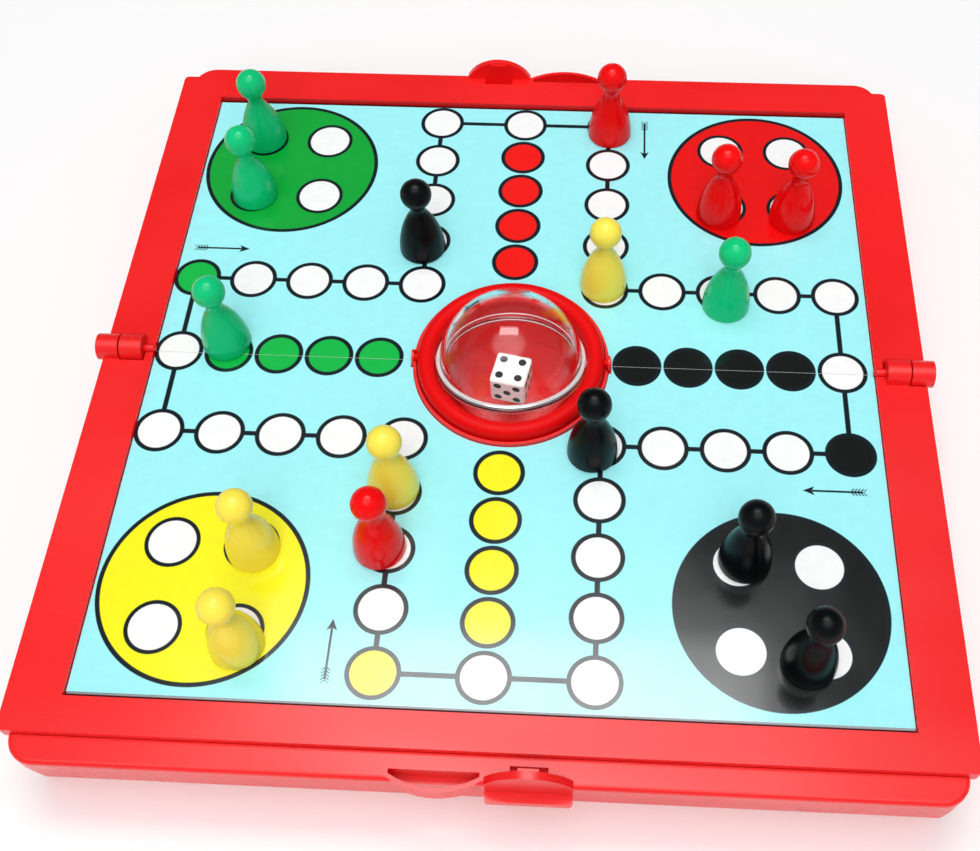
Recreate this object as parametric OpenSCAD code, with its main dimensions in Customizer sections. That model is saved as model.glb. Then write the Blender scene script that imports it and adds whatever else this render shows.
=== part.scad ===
// Folding magnetic ludo board with a dice ball on its fold line, laid open with a game under way.
// Millimetres. The origin is on the table under the middle of the fold line.
// +X runs along the fold line, +Y to the far half, +Z up.
// Both halves are the same mouldings, the far one turned half a turn about Z.

/* [Deck frame] */
// Width of the deck frame along the fold line
board_w = 200; // [180:1:240]
// Depth of one deck frame from the fold line to its free edge
half_d = 96.2; // [88:0.1:115]
// Width of the frame border at each side
frame_side = 12; // [10.5:0.1:16]
// Width of the frame border at the free edge
frame_end = 7.9; // [5:0.1:12]
// Height of the frame border
frame_h = 3.4; // [2.8:0.1:5]
// Depth of the recess that holds the steel sheet and the print
recess_depth = 1.6; // [1.2:0.1:2]
// Radius of the frame's free corners
frame_corner_r = 1.2; // [1:0.1:5]
// Space between the two decks when the board is shut
face_gap = 0.5; // [0.3:0.1:1.5]
// Space between the two halves along the fold line
fold_gap = 0.3; // [0.2:0.05:0.8]

/* [Tray] */
// How far the tray stands in from the frame at each side
tray_inset = 2; // [1:0.1:4]
// How far the tray's ledge reaches past the frame at the free edge
ledge_reach = 6; // [5:0.1:10]
// Drop from the top of the frame to the ledge
ledge_drop = 2; // [1.2:0.1:2.6]
// Radius of the tray's free corners
tray_corner_r = 6; // [5:0.1:10]
// How far the tray's free wall draws in from the ledge to its base
tray_draft = 3.6; // [1:0.1:4.5]
// How far the tray's side walls draw in
side_draft = 0.3; // [0.1:0.1:1.5]
// Height of the ledge's upright edge below its rounding
ledge_lip = 0.5; // [0.2:0.1:2]
// Step in from the ledge's upright edge to the free wall under it
ledge_step = 0.3; // [0.2:0.1:1]
// Radius of the ledge's outer top edge
edge_r = 1; // [0.3:0.1:1.5]
// Thickness of the tray's walls
wall_t = 1.8; // [1.2:0.1:2.5]
// Thickness of the tray's floor
floor_t = 1.4; // [1:0.1:2.5]
// Thickness of the ledge
ledge_t = 3.4; // [2.6:0.1:4.5]
// Width of the shelf under the deck's free edge
shelf_w = 2; // [1.5:0.1:4]
// Radius of the posts that carry the deck
post_r = 2.5; // [1.5:0.1:4]
// Distance of the outer posts from the middle of the tray
post_x = 63; // [45:0.5:75]
// Distance of the first row of posts from the fold line
post_y = 30; // [20:0.5:40]
// Spacing of the two rows of posts
post_pitch = 33; // [20:0.5:40]
// Thickness of the locating rim under the deck
rim_t = 1.2; // [0.8:0.1:2]
// Depth of the locating rim under the deck
rim_h = 1.8; // [1:0.1:2.4]
// Clearance between the deck and the tray it drops into
seat_play = 0.1; // [0.05:0.05:0.4]

/* [Latch] */
// Width of the latch tongue
latch_w = 18; // [14:0.5:22]
// Wall between the tongue and the pocket beside it
latch_gap = 0.9; // [0.6:0.1:8]
// Height of the tongue above the ledge
tongue_rise = 5.7; // [5.6:0.1:8]
// Height of the tongue's ends above the ledge
tongue_end = 0.3; // [0.2:0.1:1.5]
// How far the tongue stands out past the ledge
tongue_out = 0.1; // [0.1:0.1:0.4]
// Thickness of the tongue
tongue_t = 1.6; // [1:0.1:2]
// Width of the slot at the inner foot of the tongue
slot_w = 7.8; // [5:0.1:10]
// Reach of the slot from the tongue towards the deck
slot_d = 2.5; // [1:0.1:2.8]
// Depth of the slot below the ledge
slot_h = 2.2; // [1:0.1:2.5]
// Width of the catch on the inner side of the tongue
catch_w = 4.2; // [2:0.1:4.6]
// Height of the catch
catch_h = 0.8; // [0.4:0.1:0.8]
// Reach of the catch
catch_reach = 0.6; // [0.3:0.1:1]
// How far below the ledge the finger bar lies
bar_drop = 4.3; // [2.4:0.1:6]
// Height of the finger bar
bar_h = 2; // [1.2:0.1:3]
// How far the finger bar stands out past the tongue
bar_out = 2.1; // [1:0.1:3]
// Radius of the finger bar's outer corners
bar_round = 0.7; // [0.3:0.1:0.9]
// How far the latch pocket stands out past the ledge
pocket_out = 2; // [1.9:0.1:3]
// Depth of the latch pocket
pocket_h = 4.5; // [3:0.1:8]
// Thickness of the pocket's outer wall
pocket_t = 0.9; // [0.7:0.1:1]
// Clearance between the tongue and the pocket
pocket_play = 0.3; // [0.2:0.05:0.6]

/* [Hinges] */
// Radius of a hinge knuckle
knuckle_r = 3.25; // [2.6:0.05:3.4]
// Length of a hinge knuckle
knuckle_l = 5.4; // [4:0.1:6]
// How far the outer knuckle reaches past the frame
knuckle_out = 1.5; // [0:0.1:3]
// Gap between neighbouring knuckles
knuckle_gap = 0.4; // [0.3:0.05:0.8]
// Radius of a hinge pin
hinge_pin_r = 1; // [0.7:0.05:1.4]
// Length of pin that shows past the inner knuckle
pin_show = 2.9; // [1:0.1:4]
// Clearance round a turning pin
pin_play = 0.1; // [0.05:0.01:0.3]
// Clearance round a turning knuckle or bearing eye
turn_play = 0.3; // [0.2:0.05:0.6]

/* [Dice ball] */
// Outer radius of the clear ball
ball_r = 17.4; // [14:0.1:20]
// Thickness of the ball's wall
ball_t = 1.1; // [0.8:0.1:1.6]
// How far the seam flange stands out
flange_out = 0.8; // [0.4:0.1:1.5]
// Thickness of each shell's seam flange
flange_t = 1.2; // [0.8:0.1:2]
// Tilt of the ball about the fold line
ball_tilt = -14; // [-20:1:20]
// Radius of the ball's and the ring's pivot pins
pivot_r = 1; // [0.7:0.05:1.3]
// Length of a ball pivot inside the ring
pivot_l = 2; // [1.2:0.1:2.6]
// Edge of the die
die_edge = 9; // [7:0.1:9.5]
// Radius of the die's rounded corners, as the ball that they lie on
die_round = 7; // [6.6:0.05:7.5]
// Radius of the ball that cuts a pip
pip_r = 1.3; // [0.9:0.05:1.6]
// Depth of a pip
pip_depth = 0.45; // [0.2:0.05:0.6]
// Spacing of the pips
pip_pitch = 2.4; // [1.8:0.1:2.5]
// Place of the die in the bowl, off the middle
die_place = [-0.3, 1.4];
// Turn of the die in the bowl
die_yaw = -11; // [-45:1:45]
// Clearance under the die
die_play = 0.15; // [0.1:0.05:0.5]

/* [Ring and well] */
// Clearance between the ball and the ring, and between the ring and the well
ring_play = 0.4; // [0.3:0.05:0.8]
// Width of the ring's band
ring_w = 4.1; // [3.4:0.1:6]
// Height of the ring's band
ring_h = 5.4; // [4:0.1:7]
// Radius of the band's rounded edges
ring_round = 1.9; // [1:0.1:2]
// Thickness of the well's wall
well_t = 1.2; // [0.9:0.1:2]
// Thickness of the raised lip round the well
lip_t = 0.6; // [0.5:0.1:1.2]
// Radius of a bearing eye
eye_r = 1.9; // [1.7:0.05:2.2]
// Length of a bearing eye outside the lip
eye_l = 0.4; // [0.3:0.1:2.5]
// Clearance between the turning ring and the tray's floor
floor_play = 0.4; // [0.3:0.1:2]

/* [Playing sheet] */
// Thickness of the steel sheet
steel_t = 0.3; // [0.2:0.05:0.5]
// Thickness of the printed film
print_t = 0.3; // [0.2:0.05:0.5]
// Clearance round the sheets
sheet_play = 0.2; // [0.1:0.05:0.5]
// Space between the two halves' sheets along the fold line
sheet_gap = 0.1; // [0.05:0.05:0.5]
// Width of the steel sheet's rolled free edge, beside the film
roll_w = 1; // [0.6:0.1:2]

/* [Game layout] */
// Place of the printed game's middle on the board
game_shift = [-0.9, 0.5];
// Distance of a track lane from the middle of its arm
lane_offset = 23.2; // [20:0.1:26]
// Distance of the outermost cells from the side edge of the recess
side_margin = 6.7; // [6.4:0.1:9]
// Distance of the outermost cells from the free edge of the recess
end_margin = 7.6; // [7:0.1:9]
// Distance of the first home cell from the centre
home_start = 31.5; // [30:0.1:36]
// Distance of a house's centre from the side edge of the recess
house_side = 25.1; // [22:0.1:28]
// Distance of a house's centre from the free edge of the recess
house_end = 25.9; // [24:0.1:28]
// Half spacing of a house's cells along the fold line
house_dx = 9; // [8:0.1:11]
// Half spacing of a house's cells across the fold line
house_dy = 10.2; // [8:0.1:11]

/* [Pawns] */
// Diameter of a pawn's base
pawn_base_d = 11.8; // [10:0.1:12.4]
// Height at which a pawn's body meets its neck
pawn_body_h = 15.4; // [13:0.1:18]
// Diameter of a pawn's neck
pawn_neck_d = 3.8; // [3:0.1:5]
// Diameter of a pawn's head
pawn_head_d = 7.8; // [6:0.1:10]
// Height of the middle of a pawn's head
pawn_head_z = 20.4; // [18.5:0.1:24]
// Diameter of the magnet in a pawn's base
magnet_d = 6; // [4:0.1:7]
// Thickness of the magnet in a pawn's base
magnet_t = 2.5; // [1.5:0.1:4]
// Clearance round a pressed-in magnet or pivot
press_play = 0.05; // [0.02:0.01:0.1]
// Rest gap under a pawn
pawn_gap = 0.05; // [0.02:0.01:0.2]

/* [Hidden] */
$fn = 64;
far = 3 * board_w;
bite = 0.2;

// The dice well, from the ball outwards: the ring turns round the ball, and the well clears the ring
sweep_r = norm([ball_r + flange_out, flange_t]);
ring_in = sweep_r + ring_play;
ring_out = ring_in + ring_w;
ring_sweep = norm([ring_out - ring_round, ring_h / 2 - ring_round]) + ring_round;
well_r = ring_sweep + ring_play;
lip_r = well_r + lip_t;
eye_end = lip_r + eye_l;

// Heights, from the ring that has to turn clear of the tray's floor
axis_h = floor_t + floor_play + ring_sweep;
deck_top = axis_h - face_gap / 2;
seat_z = deck_top - frame_h;
recess_z = deck_top - recess_depth;
ledge_z = deck_top - ledge_drop;
lip_z = ledge_z - edge_r - ledge_lip;
print_z = recess_z + steel_t;
play_z = print_z + print_t;

// Outlines of the tray and of the sheets
tray_w = board_w - 2 * tray_inset;
tray_d = half_d + ledge_reach;
room_w = tray_w - 2 * (wall_t + side_draft);
room_d = tray_d - wall_t - tray_draft;
shelf_y = half_d - shelf_w;
sheet_w = board_w - 2 * frame_side;
sheet_d = half_d - frame_end;
sheet_end = sheet_d - sheet_play;

// Latch: a tongue with its catch behind the other half's ledge, and the pocket for the other tongue
latch_off = (latch_w + pocket_play + latch_gap) / 2;
tongue_y = tray_d + tongue_out;
tongue_in = tongue_y - tongue_t;
arch_h = tongue_rise - tongue_end;
arch_r = (pow(latch_w / 2, 2) + pow(arch_h, 2)) / (2 * arch_h);
catch_z = ledge_z + 2 * ledge_drop + face_gap;
pocket_w = latch_w + 2 * pocket_play;
pocket_back = tongue_in - catch_reach - pocket_play;
pocket_span = pocket_w + 2 * pocket_t;
pocket_bulge = pocket_out + edge_r;
pocket_r = (pow(pocket_span / 2, 2) + pow(pocket_bulge, 2)) / (2 * pocket_bulge);

// Hinge stations, measured outwards along the fold line
outer_to = board_w / 2 + knuckle_out;
outer_from = outer_to - knuckle_l;
inner_to = outer_from - knuckle_gap;
inner_from = inner_to - knuckle_l;

// The game's layout on the print
tip_x = sheet_w / 2 - side_margin;
tip_y = sheet_d - end_margin;
house_x = sheet_w / 2 - house_side;
house_y = sheet_d - house_end;
function along(tip, start, n) = start + n * (tip - start) / 4;
function track_x(n) = along(tip_x, lane_offset, n);
function track_y(n) = along(tip_y, lane_offset, n);
function home_x(n) = along(tip_x, home_start, n);
function house(sx, sy, cx, cy) = [sx * house_x + cx * house_dx, sy * house_y + cy * house_dy];

// Where each pawn stands: its cell, and how far off the cell's middle it was put down
COLOURS = ["green", "red", "black", "yellow"];
TINTS = ["seagreen", "red", "#1a1a1a", "khaki"];
PLACES = [
    [
        house(-1, 1, -1, 1) + [-0.1, 0.1],
        house(-1, 1, -1, -1) + [0.7, -0.2],
        [-home_x(3), 0] + [-0.9, 3],
        [track_x(2), lane_offset] + [1.4, -3.6]
    ],
    [
        [lane_offset, tip_y] + [0.3, -2.3],
        house(1, 1, -1, -1) + [-1.1, -2.1],
        house(1, 1, 1, -1) + [0, -3.1],
        [-lane_offset, -track_y(2)] + [-2.1, 0.5]
    ],
    [
        [-lane_offset, track_y(1)] + [-1.1, -2.2],
        [lane_offset, -lane_offset] + [-1.9, -1.6],
        house(1, -1, -1, 1) + [1.6, 1],
        house(1, -1, 1, -1) + [-4, -1.9]
    ],
    [
        [lane_offset, lane_offset] + [-0.4, 1.4],
        [-lane_offset, -track_y(1)] + [-0.6, 1.2],
        house(-1, -1, 1, 1) + [0.6, -1],
        house(-1, -1, 1, -1) + [1, -3.2]
    ]
];
PAWNS = [for (c = [0:3]) for (i = [0:3]) [str(COLOURS[c], "_pawn_", i + 1), c, i]];

// A bar along the fold line from x0 to x1, at the fold axis
module axis_bar(x0, x1, r) {
    translate([x0, 0, axis_h])
        rotate([0, 90, 0])
            cylinder(h = x1 - x0, r = r);
}

// Everything on the near side of the fold line
module near_side() {
    translate([-far / 2, -far - fold_gap / 2, -far / 2])
        cube(far);
}

// The far half is the near half turned round
module turned() {
    rotate([0, 0, 180])
        children();
}

// Near part of a plate of width w, from y0 to d off the fold line, with rounded free corners
module half_outline(w, y0, d, r) {
    translate([-w / 2, r - d])
        square([w, d - r - y0]);
    translate([r - w / 2, -d])
        square([w - 2 * r, d - y0]);
    for (side = [-1, 1])
        translate([side * (w / 2 - r), r - d])
            circle(r);
}

// Half section of the tray from x0 out to d, with a rounded top edge
module tray_section(x0, d) {
    polygon([[x0, 0], [d - side_draft, 0], [d, lip_z], [d, ledge_z - edge_r], [d - edge_r, ledge_z],
             [x0, ledge_z]]);
    translate([d - edge_r, ledge_z - edge_r])
        circle(edge_r);
}

// Wedge outside the tray's free wall, which draws in towards the table under the ledge's edge
module free_wedge() {
    foot = tray_d - tray_draft;
    out = tray_d + edge_r;
    rotate([90, 0, -90])
        linear_extrude(far, center = true)
            polygon([[foot, -bite], [foot, 0], [tray_d - ledge_step, lip_z], [out, lip_z], [out, -bite]]);
}

// Tray body, with rounded free corners
module tray_block() {
    corner_x = tray_w / 2 - tray_corner_r;
    corner_y = tray_d - tray_corner_r;
    for (side = [-1, 1])
        translate([side * corner_x, -corner_y, 0])
            rotate([0, 0, side > 0 ? -90 : 180])
                rotate_extrude(angle = 90)
                    tray_section(0, tray_corner_r);
    translate([0, -corner_y, 0])
        rotate([90, 0, -90])
            linear_extrude(2 * corner_x, center = true)
                tray_section(0, tray_corner_r);
    translate([0, -fold_gap / 2, 0])
        rotate([90, 0, 0])
            linear_extrude(corner_y - fold_gap / 2)
                for (side = [0, 1])
                    mirror([side, 0])
                        tray_section(-bite, tray_w / 2);
}

// Room inside the tray, under the deck and back under the ledge
module tray_room() {
    fold_wall = fold_gap / 2 + wall_t;
    translate([-room_w / 2, -room_d, floor_t])
        cube([room_w, room_d - fold_wall, ledge_z - ledge_t - floor_t]);
    translate([-room_w / 2, -shelf_y, floor_t])
        cube([room_w, shelf_y - fold_wall, ledge_z]);
}

// Posts from the floor to the deck, clear of the well
module deck_posts() {
    far_row = post_y + post_pitch;
    for (p = [[-post_x, post_y], [post_x, post_y], [-post_x, far_row], [0, far_row], [post_x, far_row]])
        translate([p[0], -p[1], floor_t - bite])
            cylinder(h = seat_z - floor_t + bite, r = post_r);
}

// Flat arched tongue on the ledge's edge with its catch, and the finger bar below it
module latch_tongue() {
    bar_z = ledge_z - bar_drop - bar_h;
    translate([latch_off, -tongue_in, ledge_z])
        rotate([90, 0, 0])
            linear_extrude(tongue_t)
                intersection() {
                    translate([0, tongue_rise - arch_r])
                        circle(arch_r, $fn = 96);
                    translate([-latch_w / 2, -bite])
                        square([latch_w, tongue_rise + bite]);
                }
    translate([latch_off - catch_w / 2, -tongue_in - bite, catch_z])
        cube([catch_w, catch_reach + bite, catch_h]);
    translate([latch_off - latch_w / 2, -tongue_y, bar_z])
        cube([latch_w, wall_t, ledge_z - bar_z]);
    translate([latch_off, 0, bar_z])
        linear_extrude(bar_h)
            half_outline(latch_w, tray_d - tray_draft, tongue_y + bar_out, bar_round);
}

// Slot in the ledge at the tongue's inner foot
module tongue_slot() {
    translate([latch_off - slot_w / 2, -tongue_in, ledge_z - slot_h])
        cube([slot_w, slot_d, slot_h + bite]);
}

// Round of the pocket at radius r, from y0 outwards and from z0 up
module pocket_round(r, w, y0, z0, h) {
    intersection() {
        translate([-latch_off, pocket_r - tray_d - pocket_out, z0])
            cylinder(h = h, r = r, $fn = 128);
        translate([-latch_off - w / 2, -far - y0, z0])
            cube([w, far, h]);
    }
}

// Outer wall of the pocket that takes the other half's tongue
module pocket_wall() {
    pocket_round(pocket_r, pocket_span, tray_d - wall_t, ledge_z - pocket_h, pocket_h);
}

// The space that the other half's tongue drops into
module pocket_hole() {
    foot_z = ledge_z - pocket_h - bite;
    pocket_round(pocket_r - pocket_t, pocket_w, pocket_back, foot_z, axis_h - foot_z);
}

module half_tray() {
    difference() {
        union() {
            difference() {
                tray_block();
                free_wedge();
                tray_room();
                translate([-far / 2, -half_d - seat_play, seat_z])
                    cube([far, far, far]);
            }
            deck_posts();
            latch_tongue();
            pocket_wall();
        }
        tongue_slot();
        pocket_hole();
        translate([0, 0, floor_t])
            cylinder(h = far, r = well_r + well_t + seat_play, $fn = 128);
    }
}

// Locating rim under the deck, on the three outer sides
module deck_rim() {
    w = room_w - 2 * seat_play;
    d = shelf_y - seat_play;
    translate([0, 0, seat_z - rim_h])
        linear_extrude(rim_h + bite)
            difference() {
                translate([-w / 2, -d])
                    square([w, d - fold_gap / 2 - wall_t - seat_play]);
                translate([rim_t - w / 2, rim_t - d])
                    square([w - 2 * rim_t, d]);
            }
}

// Well wall down to the tray's floor, and the lip that stands up through the sheet
module well_wall() {
    translate([0, 0, floor_t + seat_play])
        cylinder(h = seat_z - floor_t, r = well_r + well_t, $fn = 128);
    translate([0, 0, seat_z])
        cylinder(h = frame_h, r = lip_r, $fn = 128);
}

// Bearing eye for the ring's pivot, left of the well
module bearing_eye() {
    axis_bar(-eye_end, bite - lip_r, eye_r);
    translate([-eye_end, -eye_r, recess_z - bite])
        cube([eye_l + bite, eye_r - fold_gap / 2, axis_h - recess_z + bite]);
}

// Bores of the hinge pins, and the grooves where the pins' ends show
module hinge_bores() {
    from = inner_from - pin_show - pin_play;
    axis_bar(from, far, hinge_pin_r + pin_play);
    axis_bar(-far, -from, hinge_pin_r + pin_play);
}

module half_deck() {
    difference() {
        union() {
            difference() {
                union() {
                    intersection() {
                        union() {
                            difference() {
                                translate([0, 0, seat_z])
                                    linear_extrude(frame_h)
                                        half_outline(board_w, fold_gap / 2, half_d, frame_corner_r);
                                translate([-sheet_w / 2, -sheet_d, recess_z])
                                    cube([sheet_w, sheet_d, frame_h]);
                            }
                            well_wall();
                            deck_rim();
                        }
                        near_side();
                    }
                    bearing_eye();
                }
                translate([0, 0, -bite])
                    cylinder(h = far, r = well_r, $fn = 128);
                axis_bar(outer_from - turn_play, far, knuckle_r + turn_play);
                axis_bar(-inner_to - turn_play, turn_play - inner_from, knuckle_r + turn_play);
                axis_bar(well_r, eye_end + turn_play, eye_r + turn_play);
            }
            axis_bar(inner_from, inner_to, knuckle_r);
            axis_bar(-outer_to, -outer_from, knuckle_r);
        }
        hinge_bores();
        axis_bar(-eye_end - bite, eye_end + bite, pivot_r + pin_play);
    }
}

// Outline shared by the steel sheet and the print, which end at their own depth
module half_sheet(z, t, depth) {
    w = sheet_w - 2 * sheet_play;
    translate([0, 0, z])
        linear_extrude(t)
            difference() {
                translate([-w / 2, -depth])
                    square([w, depth - sheet_gap / 2]);
                circle(lip_r + sheet_play, $fn = 128);
                square([2 * (eye_end + turn_play), 2 * (eye_r + turn_play)], center = true);
            }
}

// Steel sheet with its free edge rolled down beside the film
module steel_sheet() {
    roll_h = steel_t + print_t;
    roll_r = (pow(roll_w, 2) + pow(roll_h, 2)) / (2 * roll_h);
    half_sheet(recess_z, steel_t, sheet_end);
    translate([0, roll_w - sheet_end, recess_z])
        rotate([90, 0, -90])
            linear_extrude(sheet_w - 2 * sheet_play, center = true)
                intersection() {
                    translate([0, roll_h - roll_r])
                        circle(roll_r);
                    square([roll_w, roll_h]);
                }
}

// Hinge pin on the right, with a round inner end
module hinge_pin() {
    axis_bar(inner_from - pin_show + hinge_pin_r, outer_to, hinge_pin_r);
    translate([inner_from - pin_show + hinge_pin_r, 0, axis_h])
        sphere(hinge_pin_r);
}

// Band of the ring, cut through
module ring_band() {
    r = ring_round;
    translate([ring_in, r - ring_h / 2])
        square([ring_w, ring_h - 2 * r]);
    translate([ring_in + r, -ring_h / 2])
        square([ring_w - 2 * r, ring_h]);
    for (x = [ring_in + r, ring_out - r], y = [r - ring_h / 2, ring_h / 2 - r])
        translate([x, y])
            circle(r);
}

module dice_ring() {
    color("red") {
        difference() {
            translate([0, 0, axis_h])
                rotate_extrude($fn = 128)
                    ring_band();
            axis_bar(-ring_in - pivot_l, ring_in + pivot_l, pivot_r + pin_play);
        }
        axis_bar(ring_out - bite, eye_end, pivot_r);
        axis_bar(-eye_end, bite - ring_out, pivot_r);
    }
}

// Puts a piece of the ball on the fold axis at the ball's tilt
module in_ball() {
    translate([0, 0, axis_h])
        rotate([ball_tilt, 0, 0])
            children();
}

// One wall of the ball, cut through between two heights
module ball_wall(z0, z1) {
    intersection() {
        difference() {
            circle(ball_r, $fn = 128);
            circle(ball_r - ball_t, $fn = 128);
        }
        translate([0, z0])
            square([ball_r, z1 - z0]);
    }
}

// Flange at the ball's seam
module seam_flange(z0) {
    translate([ball_r - ball_t, z0])
        square([ball_t + flange_out, flange_t]);
}

module ball_pivots(r) {
    for (side = [-1, 1])
        translate([side * (ring_in + pivot_l + ball_r - ball_t) / 2, 0, 0])
            rotate([0, 90, 0])
                cylinder(h = ring_in + pivot_l - ball_r + ball_t - bite, r = r, center = true);
}

module ball_dome() {
    color("whitesmoke", 0.35)
        in_ball()
            difference() {
                rotate_extrude($fn = 128) {
                    ball_wall(0, ball_r);
                    seam_flange(0);
                }
                ball_pivots(pivot_r + press_play);
            }
}

module ball_bowl() {
    color("whitesmoke", 0.35)
        in_ball() {
            rotate_extrude($fn = 128) {
                ball_wall(-ball_r, 0);
                seam_flange(-flange_t);
            }
            ball_pivots(pivot_r);
        }
}

// Places of a face's pips, on a three by three grid
function pips(n) = concat(
    n % 2 == 1 ? [[0, 0]] : [],
    n > 1 ? [[-1, -1], [1, 1]] : [],
    n > 3 ? [[-1, 1], [1, -1]] : [],
    n == 6 ? [[-1, 0], [1, 0]] : []
);

// Dimples of one face, which is turned to its side of the die
module face_pips(n, turn) {
    rotate(turn)
        for (p = pips(n))
            translate([p[0] * pip_pitch, p[1] * pip_pitch, die_edge / 2 + pip_r - pip_depth])
                sphere(pip_r, $fn = 24);
}

// Die lying level in the bowl, on the corners of its lower face
module die() {
    foot_r = min(sqrt(pow(die_round, 2) - pow(die_edge / 2, 2)), die_edge / sqrt(2));
    drop = sqrt(pow(ball_r - ball_t, 2) - pow(norm(die_place) + foot_r, 2));
    color("white")
        translate([die_place[0], die_place[1], axis_h - drop + die_play + die_edge / 2])
            rotate([0, 0, die_yaw])
                difference() {
                    intersection() {
                        cube(die_edge, center = true);
                        sphere(die_round, $fn = 64);
                    }
                    face_pips(4, [0, 0, 0]);
                    face_pips(3, [180, 0, 0]);
                    face_pips(5, [90, 0, 0]);
                    face_pips(2, [-90, 0, 0]);
                    face_pips(6, [0, 90, 0]);
                    face_pips(1, [0, -90, 0]);
                }
}

// Half of a pawn's outline: bell body on one arc, neck and ball head, hollow for its magnet
module pawn_profile() {
    base_r = pawn_base_d / 2;
    draw_in = base_r - pawn_neck_d / 2;
    bell_r = (pow(pawn_body_h, 2) + pow(draw_in, 2)) / (2 * draw_in);
    difference() {
        union() {
            intersection() {
                translate([base_r - bell_r, 0])
                    circle(bell_r, $fn = 256);
                square([base_r, pawn_body_h]);
            }
            square([pawn_neck_d / 2, pawn_head_z]);
            intersection() {
                translate([0, pawn_head_z])
                    circle(pawn_head_d / 2);
                translate([0, pawn_head_z - pawn_head_d])
                    square([pawn_head_d, 2 * pawn_head_d]);
            }
        }
        square([magnet_d / 2 + press_play, magnet_t + 2 * press_play]);
    }
}

module at_place(p) {
    place = PLACES[p[1]][p[2]];
    translate([game_shift[0] + place[0], game_shift[1] + place[1], play_z + pawn_gap])
        children();
}

module pawn(p) {
    color(TINTS[p[1]])
        at_place(p)
            rotate_extrude()
                pawn_profile();
}

module pawn_magnet(p) {
    color("dimgray")
        at_place(p)
            translate([0, 0, press_play])
                cylinder(h = magnet_t, d = magnet_d);
}

module front_tray() { color("red") half_tray(); }
module back_tray() { color("red") turned() half_tray(); }
module front_deck() { color("red") half_deck(); }
module back_deck() { color("red") turned() half_deck(); }
module front_steel_sheet() { color("silver") steel_sheet(); }
module back_steel_sheet() { color("silver") turned() steel_sheet(); }
module front_print() { color("paleturquoise") half_sheet(print_z, print_t, sheet_end - roll_w); }
module back_print() { color("paleturquoise") turned() half_sheet(print_z, print_t, sheet_end - roll_w); }
module left_hinge_pin() { color("red") turned() hinge_pin(); }
module right_hinge_pin() { color("red") hinge_pin(); }

front_tray();
back_tray();
front_deck();
back_deck();
front_steel_sheet();
back_steel_sheet();
front_print();
back_print();
left_hinge_pin();
right_hinge_pin();
dice_ring();
ball_dome();
ball_bowl();
die();
for (p = PAWNS) {
    pawn(p);
    pawn_magnet(p);
}
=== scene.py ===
"""Looks of a folding magnetic ludo board with a dice ball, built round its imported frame."""
import logging
import math
from dataclasses import dataclass, field
from enum import Enum
from typing import Iterable, Sequence, Union

import bpy
from mathutils import Euler, Matrix, Vector


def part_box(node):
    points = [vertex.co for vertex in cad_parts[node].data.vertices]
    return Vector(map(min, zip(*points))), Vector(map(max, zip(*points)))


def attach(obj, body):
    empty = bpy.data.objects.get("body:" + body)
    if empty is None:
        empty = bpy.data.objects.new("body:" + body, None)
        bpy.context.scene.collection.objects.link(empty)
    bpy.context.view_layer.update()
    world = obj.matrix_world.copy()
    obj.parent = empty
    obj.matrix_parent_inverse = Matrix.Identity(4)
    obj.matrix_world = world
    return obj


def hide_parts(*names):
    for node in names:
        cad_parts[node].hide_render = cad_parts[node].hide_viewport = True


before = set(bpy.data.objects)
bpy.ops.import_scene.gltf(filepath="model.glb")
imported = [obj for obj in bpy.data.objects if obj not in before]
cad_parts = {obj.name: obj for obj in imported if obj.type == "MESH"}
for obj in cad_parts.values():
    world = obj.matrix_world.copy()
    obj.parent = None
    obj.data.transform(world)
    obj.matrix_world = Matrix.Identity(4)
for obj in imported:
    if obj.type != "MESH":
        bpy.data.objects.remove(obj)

LOG = logging.getLogger("ludo_board")
MM = 0.001
NOISE_SPAN = (0.3, 0.7)  # Most of a noise field lies between these.
PHOTO_W, PHOTO_H = 980, 851
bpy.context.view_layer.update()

Colour = tuple[float, float, float, float]
Triple = tuple[float, float, float]
Point = tuple[float, float]
Socket = bpy.types.NodeSocket
Piece = bpy.types.Object
Value = Union["Field", Socket, float, int]


def rgb(red: float, green: float, blue: float) -> Colour:
    """Opaque colour from linear red, green and blue."""
    return (red, green, blue, 1.0)


def scaled(colour: Colour, factor: float) -> Colour:
    """A colour made lighter or darker by a factor, still opaque."""
    return rgb(*(factor * part for part in colour[:3]))


class Side(Enum):
    """The four players, by the colour of their pawns."""

    GREEN = "green"
    RED = "red"
    BLACK = "black"
    YELLOW = "yellow"


@dataclass(frozen=True)
class Field:
    """A number that changes over a surface, as the output of a shader node."""

    graph: "Graph"
    socket: Socket

    def __add__(self, other: Value) -> "Field":
        """Sum."""
        return self.graph.math("ADD", self, other)

    def __sub__(self, other: Value) -> "Field":
        """Difference."""
        return self.graph.math("SUBTRACT", self, other)

    def __rsub__(self, other: Value) -> "Field":
        """Difference from a plain number."""
        return self.graph.math("SUBTRACT", other, self)

    def __mul__(self, other: Value) -> "Field":
        """Product."""
        return self.graph.math("MULTIPLY", self, other)

    def __truediv__(self, other: Value) -> "Field":
        """Quotient."""
        return self.graph.math("DIVIDE", self, other)

    def __abs__(self) -> "Field":
        """Size without sign."""
        return self.graph.math("ABSOLUTE", self)

    def above(self, limit: Value) -> "Field":
        """One where the field is above the limit, or else nought."""
        return self.graph.math("GREATER_THAN", self, limit)

    def below(self, limit: Value) -> "Field":
        """One where the field is below the limit, or else nought."""
        return self.graph.math("LESS_THAN", self, limit)

    def largest(self, other: Value) -> "Field":
        """The larger of two fields."""
        return self.graph.math("MAXIMUM", self, other)

    def smallest(self, other: Value) -> "Field":
        """The smaller of two fields."""
        return self.graph.math("MINIMUM", self, other)

    def whole(self) -> "Field":
        """The nearest whole number."""
        return self.graph.math("ROUND", self)

    def sign(self) -> "Field":
        """Minus one, nought or one."""
        return self.graph.math("SIGN", self)


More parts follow.
